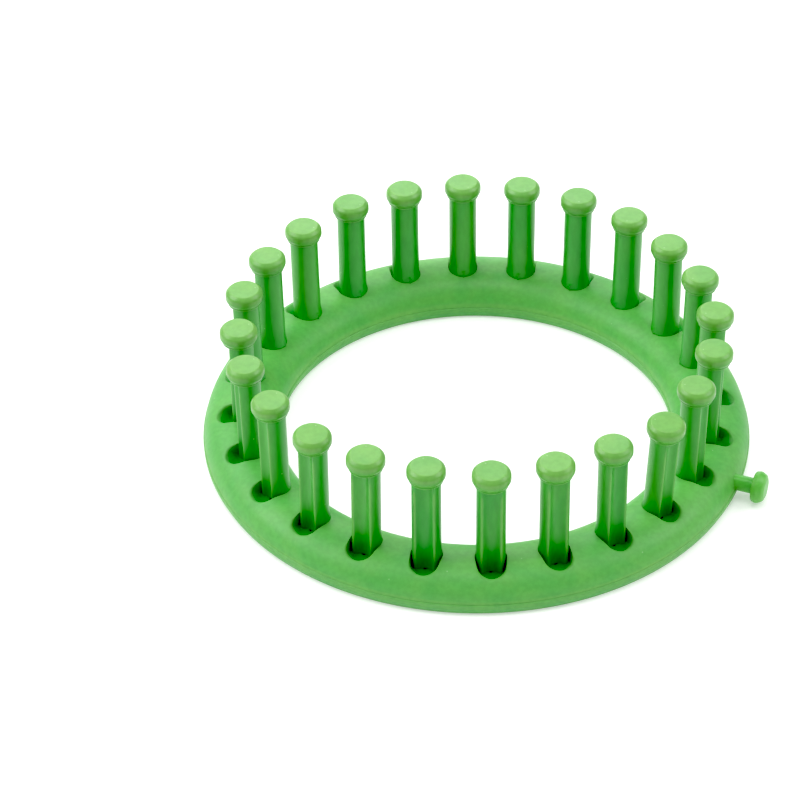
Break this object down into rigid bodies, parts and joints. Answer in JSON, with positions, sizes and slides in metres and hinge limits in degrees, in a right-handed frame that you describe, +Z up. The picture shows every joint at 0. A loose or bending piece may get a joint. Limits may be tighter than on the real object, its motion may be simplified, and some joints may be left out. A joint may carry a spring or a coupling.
{
  "type": "round knitting loom",
  "caption": "Round peg loom for knitting tubes by hand: a hollow plastic ring with upright grooved pegs, each in its own pocket, and a side peg that anchors the yarn's tail.",
  "frame": {"origin": "centre of the footprint, including the anchor peg, on the surface the loom stands on; the ring's own axis is 3.75 mm to the -X side of it", "axes": "+Z up along the pegs, +X along the anchor peg"},
  "size_m": [0.1475, 0.14, 0.0376],
  "materials": {
    "shell_plastic": "satin moulded polypropylene, leaf green",
    "foot_plastic": "satin moulded polypropylene, leaf green",
    "peg_plastic": "satin moulded polypropylene, leaf green",
    "anchor_plastic": "satin moulded polypropylene, leaf green"
  },
  "bodies": {
    "root": {"upper_shell": "shell_plastic", "lower_ring": "foot_plastic", "peg_01": "peg_plastic", "peg_02": "peg_plastic", "peg_03": "peg_plastic", "peg_04": "peg_plastic", "peg_05": "peg_plastic", "peg_06": "peg_plastic", "peg_07": "peg_plastic", "peg_08": "peg_plastic", "peg_09": "peg_plastic", "peg_10": "peg_plastic", "peg_11": "peg_plastic", "peg_12": "peg_plastic", "peg_13": "peg_plastic", "peg_14": "peg_plastic", "peg_15": "peg_plastic", "peg_16": "peg_plastic", "peg_17": "peg_plastic", "peg_18": "peg_plastic", "peg_19": "peg_plastic", "peg_20": "peg_plastic", "peg_21": "peg_plastic", "peg_22": "peg_plastic", "peg_23": "peg_plastic", "peg_24": "peg_plastic", "anchor_peg": "anchor_plastic"}
  },
  "joints": []
}
